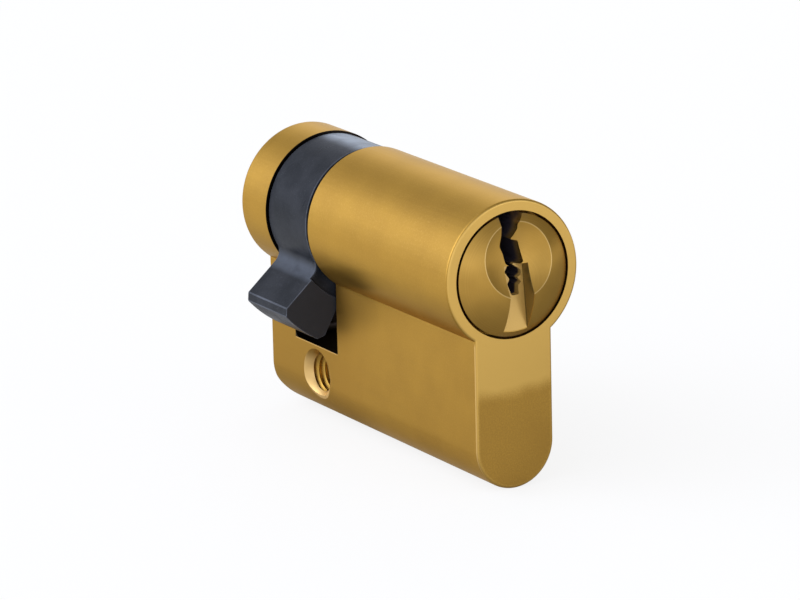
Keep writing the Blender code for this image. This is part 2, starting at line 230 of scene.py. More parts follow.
def euro_outline(steps):
    """The euro section: the barrel's arc, the web's flanks and its round bottom."""
    junction = asin(web_width / 2 / barrel_radius)
    barrel = arc((0, axis_height), barrel_radius, junction - pi / 2, 3 * pi / 2 - junction, steps)
    foot = arc((0, web_bottom + web_width / 2), web_width / 2, pi, 2 * pi, steps // 3)
    return barrel + foot


def chamber_y(index):
    """Where a pin chamber lies along the lock."""
    return front_y + chamber_setback + index * chamber_pitch


def housing_tools():
    """Every cutter of the housing, in the order in which it is machined."""
    half_reach = barrel_radius + past
    corner = arc(
        (rear_y - web_corner_radius, web_bottom + web_corner_radius),
        web_corner_radius, -pi / 2, 0, 32,
    )
    corner += [(rear_y + past, corner[-1][1]), (rear_y + past, web_bottom - past),
               (corner[0][0], web_bottom - past)]
    top = axis_height + barrel_radius + past
    slot = [(slot_front_y, top), (slot_front_y, slot_floor)]
    slot += arc((slot_rear_y - slot_corner_radius, slot_floor + slot_corner_radius),
                slot_corner_radius, -pi / 2, 0, 10)
    slot += [(slot_rear_y, top)]
    plug_bore = [
        (0, slot_front_y + past), (plug_bore_radius, slot_front_y + past),
        (plug_bore_radius, head_seat_y), (head_seat_radius, head_seat_y),
        (head_seat_radius, front_y - past), (0, front_y - past),
    ]
    inner = web_width / 2 - mouth_depth
    thread_end = inner - 0.0001
    outer = web_width / 2 + past
    outer_radius = mouth_radius + (mouth_radius - throat_radius) / mouth_depth * past
    screw_hole = [
        (0, outer), (outer_radius, outer), (throat_radius, inner),
        (thread_radius, thread_end), (thread_radius, -thread_end),
        (throat_radius, -inner), (outer_radius, -outer), (0, -outer),
    ]
    yield bar("web_corner_cut", corner, -half_reach, half_reach, "X")
    yield bar("cam_slot_cut", slot, -half_reach, half_reach, "X")
    yield turned("plug_bore_cut", plug_bore, on_axis, 144)
    yield turned("journal_bore_cut",
                 plain_cylinder(journal_bore_radius, slot_rear_y - past, journal_bore_end),
                 on_axis, 96)
    yield turned("screw_hole_cut", screw_hole, across_web, 72)
    chamber = [
        (0, axis_height), (chamber_radius, axis_height), (chamber_radius, closing_seat_top),
        (closing_seat_radius, closing_seat_top), (closing_seat_radius, web_bottom - past),
        (0, web_bottom - past),
    ]
    for i in range(chamber_count):
        place = Matrix.Translation((0, chamber_y(i), 0))
        yield turned(f"chamber_cut_{i}", chamber, place, 36)


class Wire:
    """One output of a node. Python arithmetic on it adds Math nodes to its tree."""

    def __init__(self, bench, socket):
        self.bench, self.socket = bench, socket

    def maths(self, operation, *values):
        """Add a Math node that works on these values."""
        return self.bench.node(
            "ShaderNodeMath", {"operation": operation}, dict(enumerate(values))
        )

    def __add__(self, other):
        return self.maths("ADD", self, other)

    def __sub__(self, other):
        return self.maths("SUBTRACT", self, other)

    def __rsub__(self, other):
        return self.maths("SUBTRACT", other, self)

    def __mul__(self, other):
        return self.maths("MULTIPLY", self, other)

    def __truediv__(self, other):
        return self.maths("DIVIDE", self, other)

    def __rtruediv__(self, other):
        return self.maths("DIVIDE", other, self)

    def __pow__(self, other):
        return self.maths("POWER", self, other)

    def __abs__(self):
        return self.maths("ABSOLUTE", self)

    __radd__ = __add__
    __rmul__ = __mul__

    def between(self, low, high, start=0.0, end=1.0):
        """Runs smoothly from start to end as this value goes from low to high."""
        return self.bench.node(
            "ShaderNodeMapRange", {"interpolation_type": "SMOOTHSTEP"},
            {"Value": self, "From Min": low, "From Max": high, "To Min": start, "To Max": end},
        )


class Bench:
    """Adds nodes to one tree."""

    def __init__(self, tree):
        self.tree = tree

    def node(self, kind, settings=None, values=None, output=0):
        """Add a node: its settings first, and then its sockets' values or links."""
        made = self.tree.nodes.new(kind)
        for key, value in (settings or {}).items():
            setattr(made, key, value)
        for key, value in (values or {}).items():
            if isinstance(value, Wire):
                self.tree.links.new(value.socket, made.inputs[key])
            else:
                made.inputs[key].default_value = value
        return Wire(self, made.outputs[output])

    def scaled(self, vector, factors):
        """A vector whose three parts are each multiplied by a factor."""
        return self.node("ShaderNodeVectorMath", {"operation": "MULTIPLY"},
                         {0: vector, 1: factors})

    def noise(self, vector, scale, detail=2.0, roughness=0.5, distortion=0.0):
        """Smooth random values between 0 and 1. The scale is how many lumps fit in a metre."""
        return self.node("ShaderNodeTexNoise", {"noise_dimensions": "3D"}, {
            "Vector": vector, "Scale": scale, "Detail": detail, "Roughness": roughness,
            "Distortion": distortion,
        })

    def tint(self, mask, first, second):
        """The first colour where the mask is 0, and the second where it is 1."""
        sides = [(*c, 1) if isinstance(c, tuple) else c for c in (first, second)]
        return self.node("ShaderNodeMix", {"data_type": "RGBA"},
                         {0: mask, 6: sides[0], 7: sides[1]}, output=2)


class Finish(Bench):
    """A material whose patterns are laid on the piece's own Object coordinates."""

    def __init__(self, name, metallic, roughness, specular=0.5):
        self.material = bpy.data.materials.new(name)
        self.material.use_nodes = True
        super().__init__(self.material.node_tree)
        self.shader = self.tree.nodes["Principled BSDF"]
        self.set("Metallic", metallic)
        self.set("Roughness", roughness)
        self.set("Specular IOR Level", specular)
        self.place = self.node("ShaderNodeTexCoord", output="Object")

    def set(self, socket, value):
        """Link or set a socket of the shader."""
        if isinstance(value, Wire):
            self.tree.links.new(value.socket, self.shader.inputs[socket])
        elif isinstance(value, tuple):
            self.shader.inputs[socket].default_value = (*value, 1)
        else:
            self.shader.inputs[socket].default_value = value

    def axes(self):
        """The three Object coordinates, in metres."""
        split = self.node("ShaderNodeSeparateXYZ", values={0: self.place}).socket.node
        return [Wire(self, split.outputs[i]) for i in range(3)]

    def relief(self, height, distance):
        """Fine relief whose height of 1 stands for the distance, in metres."""
        self.set("Normal", self.node("ShaderNodeBump", values={
            "Height": height, "Distance": distance, "Strength": 1.0,
        }))


def housing_finish(name, colour, light, dull, roughness):
    """Satin brass, with drawing lines along the bar, a faced front, marks of wear, and painted
    highlights and shade.
    """
    finish = Finish(name, 1.0, roughness)
    finish.set("Specular Tint", brass_at_edge)
    x, y, z = finish.axes()
    lines = finish.noise(finish.scaled(finish.place, (2200, 30, 2200)), 1.0, 3.0, 0.6)
    grain = finish.noise(finish.place, 5200, 3.0, 0.65)
    cloud = finish.noise(finish.place, 190, 2.0, 0.5)
    faced = y.between(front_y + 0.00012, front_y + 0.00004)
    below = finish.node("ShaderNodeMath", {"operation": "MINIMUM"},
                        {0: z - (web_bottom + web_width / 2), 1: 0.0})
    from_edge = web_width / 2 - (x * x + below * below) ** 0.5
    # The lower front is rougher and speckled, and painted darker than the upper front: partly its
    # own finish, partly painted shade
    shaded_low_face = faced * (z - x * 0.04 + (cloud - 0.5) * 0.0016).between(*face_shade_height)
    shaded_low_face = shaded_low_face * from_edge.between(*face_shade_margin)
    shade_mask = (cloud - 0.5) * 0.9 + (lines - 0.5) * 0.35 + 0.42
    tone = finish.tint(shade_mask, dull, colour)
    tone = finish.tint((grain - 0.45).between(0.0, 0.35) * 0.35, tone, light)
    # Painted shade: the lower barrel and the web darken from ahead of the cam slot to the rear
    cam_shade = y.between(*cam_shade_reach) * z.between(*cam_shade_height)
    tone = finish.tint(cam_shade * 0.9, tone, dull)
    # Painted light: the faced front is tinted lighter, except on its lower part
    tone = finish.tint(faced * (1 - shaded_low_face) * 0.9, tone, brass_front_lit)
    tone = finish.tint(shaded_low_face * grain.between(0.40, 0.58) * 0.7, tone, dull)
    # Painted highlight: a thin light line along the web's rounded front edge
    front_edge_highlight = abs(y - front_edge_highlight_y).between(0.00009, 0.00003)
    front_edge_highlight = front_edge_highlight * z.between(*front_edge_highlight_height)
    tone = finish.tint(front_edge_highlight * 0.8, tone, brass_highlight)
    # Painted highlight: the lower part of each mouth of the screw hole is tinted light and made
    # less metallic
    mouth = (y * y + z * z).between((mouth_radius + 0.00004) ** 2, mouth_radius ** 2)
    mouth = mouth * abs(x).between(thread_limit, thread_limit + 0.0001)
    mouth = mouth * z.between(*bright_mouth_height)
    tone = finish.tint(mouth * 0.9, tone, brass_highlight)
    in_slot = abs(y - (slot_front_y + slot_rear_y) / 2) - (slot_rear_y - slot_front_y) / 2
    # Painted highlight: a thin light line on the flanks just below the cam slot's floor
    slot_lip_highlight = z.between(*slot_lip_highlight_height) * in_slot.between(0.00004, -0.0001)
    tone = finish.tint(slot_lip_highlight * 0.75, tone, brass_highlight)
    # Painted shade, with some oil: the cam slot's walls and floor are tinted almost black
    in_slot = in_slot.between(0.00005, 0.00001)
    in_slot = in_slot * z.between(slot_floor - 0.00004, slot_floor - 0.00001)
    tone = finish.tint(in_slot * 0.97, tone, slot_shade)
    finish.set("Base Color", tone)
    flank = abs(x).between(web_width / 2 - 0.00008, web_width / 2 - 0.00002)
    flank = flank * z.between(*flank_height)
    rubbed = abs(y - slot_front_y).between(*rubbed_reach) * z.between(*rubbed_height)
    fine = lines * 0.10 + grain * 0.10 + (roughness - 0.10)
    finish.set("Roughness", fine + shaded_low_face * 0.08 + flank * 0.10 + rubbed * 0.14)
    finish.set("Metallic", 1 - mouth * 0.3)
    finish.relief(lines * (1 - faced) * 0.6 + grain * 0.4 + shaded_low_face * grain * 1.6, 0.000012)
    return finish.material


brass = housing_finish("brass", brass_colour, brass_light, brass_dull, 0.33)
worn_brass = housing_finish("worn_brass", brass_light, brass_worn, brass_colour, 0.30)

housing = bar("housing_body", euro_outline(168), front_y, rear_y)
housing.data.materials.append(brass)
housing.data.materials.append(worn_brass)
ease_edges(housing, end_round, 70, segments=5)
carve(housing, list(housing_tools()))
ease_edges(housing, broken_edge, 42, edge_slot=1)
shade(housing)
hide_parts("housing")
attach(housing, "housing")


# Screw thread
# The fixing hole is tapped M5 right through the bridge. Its thread is a triangular ridge
# that winds along the bore at the pitch of 0.8 mm between the two countersunk mouths.
thread_pitch = 0.0008
thread_crest_radius = 0.00212
thread_half_length = 0.00365


def shape_tree(name, sizes):
    """Start a tree of geometry nodes: its bench, and wires for its named sizes and finish."""
    tree = bpy.data.node_groups.new(name, "GeometryNodeTree")
    for size in sizes:
        tree.interface.new_socket(name=size, in_out="INPUT", socket_type="NodeSocketFloat")
    tree.interface.new_socket(name="Finish", in_out="INPUT", socket_type="NodeSocketMaterial")
    tree.interface.new_socket(name="Geometry", in_out="OUTPUT", socket_type="NodeSocketGeometry")
    bench = Bench(tree)
    asked = tree.nodes.new("NodeGroupInput")
    return bench, [Wire(bench, asked.outputs[i]) for i in range(len(sizes) + 1)]


def end_tree(bench, shape, metal):
    """End a tree of geometry nodes with one real mesh in one metal."""
    shape = bench.node("GeometryNodeRealizeInstances", values={0: shape})
    shape = bench.node("GeometryNodeSetMaterial", values={"Geometry": shape, "Material": metal})
    result = bench.tree.nodes.new("NodeGroupOutput")
    bench.tree.links.new(shape.socket, result.inputs[0])


def shape_by_nodes(name, tree, inputs, body):
    """Run a tree on an empty mesh and keep the result as a plain mesh that rides on a body."""
    piece = bpy.data.objects.new(name, bpy.data.meshes.new(name))
    bpy.context.scene.collection.objects.link(piece)
    modifier = piece.modifiers.new(name, "NODES")
    modifier.node_group = tree
    identifiers = {item.name: item.identifier for item in tree.interface.items_tree}
    for label, value in inputs.items():
        modifier[identifiers[label]] = value
    settle(piece)
    shade(piece)
    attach(piece, body)
    return piece


thread_sizes = {
    "Pitch": thread_pitch, "Crest Radius": thread_crest_radius, "Root Radius": thread_radius,
    "Turns": 2 * thread_half_length / thread_pitch,
}
bench, (pitch, crest, root, turns, metal) = shape_tree("screw_thread", thread_sizes)
helix = bench.node("GeometryNodeCurveSpiral", values={
    "Resolution": 72, "Rotations": turns, "Start Radius": root, "End Radius": root,
    "Height": pitch * turns, "Reverse": True,
})
helix = bench.node("GeometryNodeSetCurveNormal", {"mode": "Z_UP"}, {"Curve": helix})
ridge = bench.node("GeometryNodeCurvePrimitiveQuadrilateral", {"mode": "TRAPEZOID"}, {
    "Height": (root - crest) * 2, "Bottom Width": pitch * 1.9, "Top Width": pitch * 0.14,
    "Offset": 0.0,
})
ridge = bench.node("GeometryNodeTransform", values={
    "Geometry": ridge, "Rotation": (0, 0, pi / 2),
})
wound = bench.node("GeometryNodeCurveToMesh", values={
    "Curve": helix, "Profile Curve": ridge, "Fill Caps": True,
})
rise = bench.node("ShaderNodeCombineXYZ", values={2: pitch * turns * -0.5})
wound = bench.node("GeometryNodeTransform", values={"Geometry": wound, "Translation": rise})
wound = bench.node("GeometryNodeTransform", values={
    "Geometry": wound, "Rotation": (0, pi / 2, 0),
})
end_tree(bench, wound, metal)
thread = shape_by_nodes("screw_thread", bench.tree, {**thread_sizes, "Finish": worn_brass},
                        "housing")


# Plug
# The plug is turned from a second brass bar. Its domed face has an eccentric round dish and
# a notch that lead the key in, and the key slot is broached through it from end to end.
plug_radius = 0.0065
plug_end_y = -0.001
head_radius = 0.00695
head_depth = 0.0020
dome_height = 0.002310
dish_rim_radius = 0.00426
dish_depth = 0.0008
dish_tilt = radians(10.4)
notch_width = 0.0031
notch_top = 0.0012
notch_setback = 0.0003
notch_tilt = radians(6.6)
groove_radius = 0.0056
groove_front_y = -0.0050
groove_rear_y = -0.0040
key_chamber_top = 0.0013
tongue_slot_y = -0.0027
tongue_slot_half = 0.0017
cam_angle = radians(39)
with_cam = Matrix.Translation((0, 0, axis_height)) @ Matrix.Rotation(cam_angle, 4, "Y")
plug_colour = (0.455, 0.268, 0.056)
plug_light = (0.600, 0.380, 0.105)
plug_worn = (0.740, 0.500, 0.170)
plug_dull = (0.300, 0.170, 0.034)
plug_rim_highlight = (0.800, 0.570, 0.230)
notch_floor_light = (0.540, 0.335, 0.090)
notch_wall_shade = (0.200, 0.130, 0.030)
key_slot_shade = (0.010, 0.015, 0.036)
key_slot_shade_reach = (front_y - 0.0006, front_y + 0.0012)
key_slot_shade_half_width = (0.0021, 0.0019)
notch_end = (front_y + 0.0011, front_y + 0.0007)
rim_end = (front_y, front_y - 0.0003)
# Key slot seen from the front, down its right side and up its left, from the plug's axis
key_slot = (
    (0.00150, 0.00800), (0.00130, 0.00670), (0.00045, 0.00585), (0.00045, 0.00525),
    (0.00000, 0.00460), (-0.00045, 0.00420), (0.00050, 0.00390), (0.00105, 0.00150),
    (0.00020, 0.00110), (0.00130, 0.00035), (0.00130, -0.00015), (0.00075, -0.00045),
    (0.00125, -0.00100), (0.00080, -0.00130), (0.00080, -0.00235), (-0.00015, -0.00235),
    (-0.00060, -0.00100), (-0.00025, -0.00050), (-0.00085, 0.00035), (-0.00040, 0.00100),
    (-0.00130, 0.00155), (-0.00155, 0.00275), (-0.00195, 0.00360), (-0.00165, 0.00480),
    (-0.00170, 0.00600), (-0.00170, 0.00800),
)


def rounded(outline, ease):
    """Round each corner of an outline by cutting it back and pulling in a middle point."""
    points = []
    for i, corner in enumerate(outline):
        here = Vector(corner)
        before = Vector(outline[i - 1]) - here
        after = Vector(outline[(i + 1) % len(outline)]) - here
        reach = min(ease, before.length * 0.4, after.length * 0.4)
        first = here + before.normalized() * reach
        last = here + after.normalized() * reach
        points += [first, (first + last) / 4 + here / 2, last]
    return [tuple(p) for p in points]


def cap(radius, centre, edge, steps):
    """Profile points of a ball's cap, from its edge angle in to just short of its pole."""
    angles = [edge * (1 - i / steps) for i in range(steps)]
    return [(radius * sin(a), centre - radius * cos(a)) for a in angles]


def plug_profile():
    """The plug's turned profile, with the dome's radius and centre."""
    radius = (head_radius ** 2 + dome_height ** 2) / (2 * dome_height)
    centre_y = front_y - dome_height + radius
    dome = cap(radius, centre_y, asin(head_radius / radius), 26)
    body = [
        (0, plug_end_y), (plug_radius, plug_end_y), (plug_radius, groove_rear_y),
        (groove_radius, groove_rear_y), (groove_radius, groove_front_y),
        (plug_radius, groove_front_y), (plug_radius, front_y + head_depth),
        (head_radius, front_y + head_depth),
    ]
    return body + dome + [(0, front_y - dome_height)], radius, centre_y


def block(name, low, high, place):
    """A block between two corners, measured in a place of its own."""
    shape = bmesh.new()
    bmesh.ops.create_cube(shape, size=1)
    low, high = Vector(low), Vector(high)
    bmesh.ops.scale(shape, vec=high - low, verts=shape.verts)
    bmesh.ops.translate(shape, vec=(low + high) / 2, verts=shape.verts)
    bmesh.ops.transform(shape, matrix=place, verts=shape.verts)
    return as_piece(name, shape)


def plug_tools(radius, centre_y):
    """The dish, the notch, the key slot, the chambers and the driver's slot."""
    ball = (dish_rim_radius ** 2 + dish_depth ** 2) / (2 * dish_depth)
    rim_distance = sqrt(radius ** 2 - dish_rim_radius ** 2)
    ball_centre = rim_distance + ball - dish_depth
    bowl = cap(ball, ball_centre, 1.2 * asin(dish_rim_radius / ball), 22)
    top = radius + past
    profile = [(0, top), (bowl[0][0], top)] + bowl + [(0, rim_distance - dish_depth)]
    leaning = (Matrix.Translation((0, centre_y, axis_height))
               @ Matrix.Rotation(pi / 2 - dish_tilt, 4, "X"))
    yield turned("dish_cut", profile, leaning, 128)
    yield block(
        "notch_cut", (-notch_width / 2, -dome_height - notch_setback - past, -head_radius),
        (notch_width / 2, 0, notch_top),
        Matrix.Translation((0, front_y + notch_setback, axis_height))
        @ Matrix.Rotation(-notch_tilt, 4, "X"),
    )
    slot = [(x, z + axis_height) for x, z in rounded(key_slot, 0.00016)]
    yield bar("key_slot_cut", slot, front_y - dome_height - past, plug_end_y + past)
    for i in range(chamber_count):
        place = Matrix.Translation((0, chamber_y(i), axis_height))
        drill = plain_cylinder(chamber_radius, -plug_radius - past, key_chamber_top)
        yield turned(f"key_chamber_cut_{i}", drill, place, 36)
    reach = plug_radius + past
    yield block(
        "tongue_slot_cut", (-reach, tongue_slot_y, -tongue_slot_half),
        (reach, plug_end_y + past, tongue_slot_half), with_cam,
    )


def plug_finish(name, colour, light, dull, roughness):
    """Turned brass, with fine rings round the axis, painted light and shade on its face, and a
    key slot dark with grease and painted shade.
    """
    finish = Finish(name, 1.0, roughness)
    finish.set("Specular Tint", brass_at_edge)
    x, y, z = finish.axes()
    from_axis = finish.node("ShaderNodeMath", {"operation": "SQRT"}, {
        0: x * x + (z - axis_height) * (z - axis_height),
    })
    wobble = finish.noise(finish.place, 260, 2.0)
    rings = finish.noise(finish.node("ShaderNodeCombineXYZ", values={
        0: from_axis * 9000 + wobble * 0.6, 1: 0.0, 2: 0.0,
    }), 1.0, 2.0, 0.6)
    cloud = finish.noise(finish.place, 320, 2.0)
    grain = finish.noise(finish.place, 6500, 2.0)
    tone = finish.tint((cloud - 0.5) * 0.7 + (rings - 0.5) * 0.5 + 0.5, dull, colour)
    tone = finish.tint((rings - 0.5).between(0.05, 0.3) * 0.3, tone, light)
    # Painted shade, with some grease: the key slot darkens to almost black with depth and loses
    # its metal look
    key_slot_depth_shade = y.between(*key_slot_shade_reach) * abs(x).between(*key_slot_shade_half_width)
    tone = finish.tint(key_slot_depth_shade * 0.94, tone, key_slot_shade)
    from_ball = finish.node("ShaderNodeVectorMath", {"operation": "SUBTRACT"},
                            {0: finish.place, 1: (0, dome_centre_y, axis_height)})
    ahead = finish.node("ShaderNodeVectorMath", {"operation": "DOT_PRODUCT"},
                        {0: from_ball, 1: (0, -cos(dish_tilt), sin(dish_tilt))}, output="Value")
    reach = finish.node("ShaderNodeVectorMath", {"operation": "LENGTH"}, {0: from_ball},
                        output="Value")
    beside = finish.node("ShaderNodeMath", {"operation": "SQRT"},
                         {0: reach * reach - ahead * ahead})
    in_notch = abs(x).between(notch_width / 2 + 0.00004, notch_width / 2)
    in_notch = in_notch * (z - axis_height).between(notch_top + 0.00008, notch_top)
    in_notch = in_notch * reach.between(dome_radius - 0.00004, dome_radius - 0.00010)
    in_notch = in_notch * y.between(*notch_end)
    at_wall = abs(x).between(notch_width / 2 - 0.00012, notch_width / 2 - 0.00004)
    # Painted light on the notch's floor, tinted lighter and made less metallic, and painted shade
    # along its walls
    tone = finish.tint(in_notch, tone, notch_floor_light)
    tone = finish.tint(in_notch * at_wall, tone, notch_wall_shade)
    # Painted highlight: a thin light line round the dish's rim
    rim = abs(beside - dish_rim_radius).between(0.00009, 0.00003) * (1 - in_notch)
    rim = rim * y.between(*rim_end)
    tone = finish.tint(rim * 0.5, tone, plug_rim_highlight)
    finish.set("Base Color", tone)
    finish.set("Metallic", (1 - in_notch * 0.5) * (1 - key_slot_depth_shade))
    finish.set("Roughness", rings * 0.12 + grain * 0.06 + (roughness - 0.09))
    finish.relief(rings * 0.6 + grain * 0.25, 0.000008)
    return finish.material


turned_profile, dome_radius, dome_centre_y = plug_profile()
plug_brass = plug_finish("plug_brass", plug_colour, plug_light, plug_dull, 0.32)
plug_edge = plug_finish("plug_edge", plug_light, plug_worn, plug_colour, 0.24)
plug = turned("plug_body", turned_profile, on_axis, 160)
plug.data.materials.append(plug_brass)
plug.data.materials.append(plug_edge)
carve(plug, list(plug_tools(dome_radius, dome_centre_y)))
ease_edges(plug, broken_edge, 34, edge_slot=1)
shade(plug)
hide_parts("plug")
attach(plug, "plug")


# Cam
# The cam is pressed from iron powder, sintered, hardened in steam and oiled, which leaves
# it blue-black and finely speckled. Its ring turns with the plug and its lobe throws the bolt.
cam_radius = 0.00825
cam_front_y = -0.0040
cam_rear_y = 0.0045
lobe_front_y = cam_front_y - 0.0005
cam_step_radius = 0.00995
lobe_radius = 0.0151
lobe_side = 0.00063
lobe_flare = radians(10.3)
lobe_tip_chamfer = 0.0007
lobe_root_fillet = 0.0015
lug_slot_half = 0.0015
lug_slot_depth = 0.0081
cam_edge = 0.00011
steel_colour = (0.024, 0.026, 0.030)
steel_light = (0.110, 0.116, 0.125)
steel_edge_glint = (0.260, 0.285, 0.320)
steel_dark = (0.012, 0.014, 0.017)
steel_pressed_lit = (0.034, 0.034, 0.036)
steel_crown_highlight = (0.380, 0.430, 0.470)
steel_root_highlight = (0.088, 0.100, 0.118)
steel_edge_lit = (0.085, 0.092, 0.105)
steel_edge_dark = (0.045, 0.050, 0.058)
crown_left = (-0.0020, 0.0004)
crown_right = (0.0040, 0.0018)
crown_height = (0.0060, 0.0070)
root_reach = (0.0019, 0.0014)
root_height = (0.0014, 0.0004)


def on_flank(along, beside):
    """A point of (across, up) from its places along and beside the lobe's right flank."""
    return (along * sin(lobe_flare) + beside * cos(lobe_flare),
            beside * sin(lobe_flare) - along * cos(lobe_flare))


def root_centre():
    """The centre of the fillet at the lobe's right root."""
    beside = lobe_side * cos(lobe_flare) + lobe_root_fillet
    return on_flank(sqrt((cam_radius + lobe_root_fillet) ** 2 - beside ** 2), beside)


def cam_outline():
    """A ring with one lobe hanging down, filleted at its root and chamfered at its tip."""
    side = lobe_side * cos(lobe_flare)
    corner_along = sqrt(lobe_radius ** 2 - side ** 2)
    corner = on_flank(corner_along, side)
    corner_angle = atan2(corner[1], corner[0]) - lobe_tip_chamfer / lobe_radius
    fillet_centre = root_centre()
    to_axis = atan2(-fillet_centre[1], -fillet_centre[0])
    right = arc((0, 0), lobe_radius, -pi / 2, corner_angle, 14)
    right.append(on_flank(corner_along - lobe_tip_chamfer, side))
    right += arc(fillet_centre, lobe_root_fillet, pi + lobe_flare, to_axis, 14)
    right += arc((0, 0), cam_radius, to_axis - pi, pi / 2, 80)[1:]
    return right + [(-across, up) for across, up in reversed(right[1:-1])]


def steel_finish(name, colour, light, dark, roughness):
    """Oiled black steel, speckled, with painted highlights on its crown and at the lobe's roots.
    """
    finish = Finish(name, 0.0, roughness, 0.065)
    x, y, z = finish.axes()
    z = z - axis_height
    speckle = finish.noise(finish.place, 5600, 3.0, 0.7)
    cloud = finish.noise(finish.place, 330, 3.0, 0.55, 0.4)
    smear = finish.noise(finish.place, 900, 2.0)
    tone = finish.tint(cloud.between(0.3, 0.7), dark, colour)
    tone = finish.tint(speckle.between(0.60, 0.78) * 0.6, tone, light)
    tone = finish.tint(speckle.between(0.38, 0.28) * 0.7, tone, dark)
    # The lobe's pressed front is smooth and evenly toned, and is also painted a little lighter as
    # painted light
    pressed = y.between(lobe_front_y + 0.00003, lobe_front_y + 0.00001)
    tone = finish.tint(pressed * 0.85, tone, steel_pressed_lit)
    # Painted highlight: a pale patch on the cam ring's crown
    crown = x.between(*crown_left) * x.between(*crown_right) * z.between(*crown_height)
    tone = finish.tint(crown * cloud.between(0.25, 0.65, 0.35, 0.75), tone, steel_crown_highlight)
    # Painted highlight: a pale band at the fillet of each root of the lobe
    across = abs(x * cos(cam_angle) - z * sin(cam_angle)) - root_centre()[0]
    up = x * sin(cam_angle) + z * cos(cam_angle) - root_centre()[1]
    root = ((across * across + up * up) ** 0.5).between(*root_reach)
    root = root * up.between(*root_height)
    tone = finish.tint(root * smear.between(0.10, 0.60, 0.45, 0.75), tone, steel_root_highlight)
    finish.set("Base Color", tone)
    finish.set("Roughness", cloud * 0.34 + smear * 0.14 + (roughness - 0.24))
    finish.relief((speckle * 0.7 + smear * 0.3) * (1 - pressed * 0.6), 0.000022)
    return finish.material


cam_steel = steel_finish("cam_steel", steel_colour, steel_light, steel_dark, 0.36)
# Painted highlight: the cam's broken edges take this lighter copy of its steel
cam_edge_steel = steel_finish("cam_edge_steel", steel_edge_lit, steel_edge_glint, steel_edge_dark, 0.34)
outline = [
    (across * cos(cam_angle) + up * sin(cam_angle),
     up * cos(cam_angle) - across * sin(cam_angle) + axis_height)
    for across, up in cam_outline()
]
cam = bar("cam_body", outline, lobe_front_y, cam_rear_y)
cam.data.materials.append(cam_steel)
cam.data.materials.append(cam_edge_steel)
carve(cam, [
    turned("cam_step_cut", plain_cylinder(cam_step_radius, lobe_front_y - past, cam_front_y),
           on_axis, 144),
    turned("cam_bore_cut",
           plain_cylinder(plug_bore_radius, lobe_front_y - past, cam_rear_y + past),
           on_axis, 120),
    block("lug_slot_cut", (-lug_slot_half, lobe_front_y - past, -lug_slot_depth),
          (lug_slot_half, cam_rear_y + past, 0), with_cam),
])
ease_edges(cam, cam_edge, 34, edge_slot=1, clamped=False)
shade(cam)
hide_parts("cam")
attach(cam, "plug")


# Small pieces inside
# The retaining ring is bent from spring wire, the driver and the pins are turned, and the
# chambers are closed with plugs of the housing's brass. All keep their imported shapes.
def bright_finish(name, colour, roughness, along):
    """Ground or drawn metal with fine scratches that run along one axis."""
    finish = Finish(name, 1.0, roughness)
    stretch = tuple(120 if i == along else 3600 for i in range(3))
    scratches = finish.noise(finish.scaled(finish.place, stretch), 1.0, 3.0, 0.6)
    cloud = finish.noise(finish.place, 700, 2.0)
    pale = tuple(min(1.0, c * 1.25) for c in colour)
    dim = tuple(c * 0.7 for c in colour)
    tone = finish.tint(cloud.between(0.3, 0.7), dim, colour)
    finish.set("Base Color", finish.tint(scratches.between(0.55, 0.75) * 0.6, tone, pale))
    finish.set("Roughness", scratches * 0.16 + (roughness - 0.08))
    finish.relief(scratches, 0.000006)
    return finish.material


small_pieces = {
    "retaining_ring": bright_finish("spring_steel_ring", (0.40, 0.40, 0.42), 0.34, along=1),
    "cam_driver": bright_finish("driver_steel", (0.30, 0.30, 0.32), 0.38, along=1),
}
key_pin_metal = bright_finish("nickel_silver", (0.50, 0.47, 0.38), 0.28, along=2)
driver_pin_metal = bright_finish("pin_steel", (0.42, 0.42, 0.44), 0.28, along=2)
for i in range(chamber_count):
    small_pieces[f"key_pin_{i + 1}"] = key_pin_metal
    small_pieces[f"driver_pin_{i + 1}"] = driver_pin_metal
    small_pieces[f"chamber_plug_{i + 1}"] = brass
for node, material in small_pieces.items():
    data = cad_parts[node].data
    for place in range(len(data.materials)):
        data.materials[place] = material
    if not data.materials:
        data.materials.append(material)


# Pin springs
# Each driver pin sits on a spring wound from round steel wire, with its end turns closed.
# It fills the chamber between the closing plug and the pin.
spring_turns = 6.0
spring_wire_radius = 0.00016
closed_rise = 2.3 * spring_wire_radius
spring_wire = bright_finish("spring_wire", (0.45, 0.45, 0.47), 0.30, along=0)
spring_sizes = ("Coil Radius", "Wire Radius", "Turns", "Length")
bench, (coil, wire, turns, length, metal) = shape_tree("wound_spring", spring_sizes)
path = bench.node("GeometryNodeCurveSpiral", values={
    "Resolution": 20, "Rotations": turns, "Start Radius": coil, "End Radius": coil,
    "Height": length,
})
turned_so_far = bench.node("GeometryNodeSplineParameter") * turns
in_open = bench.node("ShaderNodeClamp", values={"Value": turned_so_far - 1, "Min": 0.0,
                                                "Max": turns - 2})
open_rise = (length - wire * 2 - closed_rise * 2) / (turns - 2)
height = wire + in_open * open_rise + (turned_so_far - in_open) * closed_rise
here = bench.node("ShaderNodeSeparateXYZ", values={0: bench.node("GeometryNodeInputPosition")})
across = [Wire(bench, here.socket.node.outputs[i]) for i in range(2)]
raised = bench.node("ShaderNodeCombineXYZ", values={0: across[0], 1: across[1], 2: height})
path = bench.node("GeometryNodeSetPosition", values={"Geometry": path, "Position": raised})
round_wire = bench.node("GeometryNodeCurvePrimitiveCircle", values={
    "Resolution": 10, "Radius": wire,
})
coiled = bench.node("GeometryNodeCurveToMesh", values={
    "Curve": path, "Profile Curve": round_wire, "Fill Caps": True,
})
end_tree(bench, coiled, metal)
